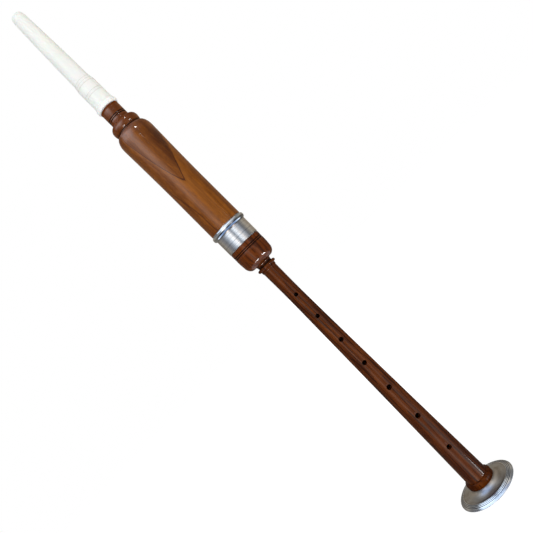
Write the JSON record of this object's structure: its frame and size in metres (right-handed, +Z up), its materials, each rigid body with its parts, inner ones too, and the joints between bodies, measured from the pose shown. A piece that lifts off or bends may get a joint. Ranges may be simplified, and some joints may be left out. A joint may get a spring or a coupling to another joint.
{
  "type": "bagpipe practice chanter",
  "caption": "Long turned wooden practice chanter with a metal sole and ferrule, a push-fit plastic mouthpiece, hemp-lapped joints and a reed in its chamber.",
  "frame": {"origin": "centre of the flat ring under the sole, on the axis of the bore", "axes": "+Z up the bore from the sole to the mouthpiece; the seven finger holes face -Y and the thumb hole faces +Y"},
  "size_m": [0.0472, 0.0472, 0.4831],
  "materials": {
    "stick_wood": "dark red-brown hardwood, lacquered",
    "barrel_wood": "red-brown hardwood, lacquered",
    "sole_metal": "turned and polished, dulled",
    "ferrule_metal": "turned and polished",
    "mouthpiece_plastic": "off-white, turned, fine rings",
    "waxed_hemp": "waxed thread, wound",
    "reed_plastic": "satin",
    "reed_thread": "waxed thread, wound",
    "bridle_rubber": "matt"
  },
  "bodies": {
    "chanter": {"chanter_stick": "stick_wood", "sole": "sole_metal"},
    "tenon_lapping": {"tenon_lapping": "waxed_hemp"},
    "barrel": {"barrel": "barrel_wood", "ferrule": "ferrule_metal"},
    "mouthpiece_lapping": {"mouthpiece_lapping": "waxed_hemp"},
    "mouthpiece": {"mouthpiece": "mouthpiece_plastic"},
    "reed_seat_lapping": {"reed_seat_lapping": "waxed_hemp"},
    "reed": {"reed_staple": "reed_plastic", "reed_blade_front": "reed_plastic", "reed_blade_back": "reed_plastic", "reed_binding": "reed_thread"},
    "reed_bridle": {"reed_bridle": "bridle_rubber"}
  },
  "joints": [
    {"name": "barrel_twist", "type": "hinge", "parent": "chanter", "child": "tenon_lapping", "pos_m": [0, 0, 0.2608], "axis": [0, 0, 1], "continuous": true},
    {"name": "barrel_pull", "type": "slide", "parent": "tenon_lapping", "child": "barrel", "axis": [0, 0, 1], "range_m": [0, 0.11]},
    {"name": "mouthpiece_twist", "type": "hinge", "parent": "barrel", "child": "mouthpiece_lapping", "pos_m": [0, 0, 0.3953], "axis": [0, 0, 1], "continuous": true},
    {"name": "mouthpiece_pull", "type": "slide", "parent": "mouthpiece_lapping", "child": "mouthpiece", "axis": [0, 0, 1], "range_m": [0, 0.03]},
    {"name": "reed_pull", "type": "slide", "parent": "chanter", "child": "reed_seat_lapping", "axis": [0, 0, 1], "range_m": [0, 0.016]},
    {"name": "reed_twist", "type": "hinge", "parent": "reed_seat_lapping", "child": "reed", "pos_m": [0, 0, 0.2672], "axis": [0, 0, 1], "continuous": true},
    {"name": "bridle_slide", "type": "slide", "parent": "reed", "child": "reed_bridle", "axis": [0, 0, 1], "range_m": [0, 0.004]}
  ]
}
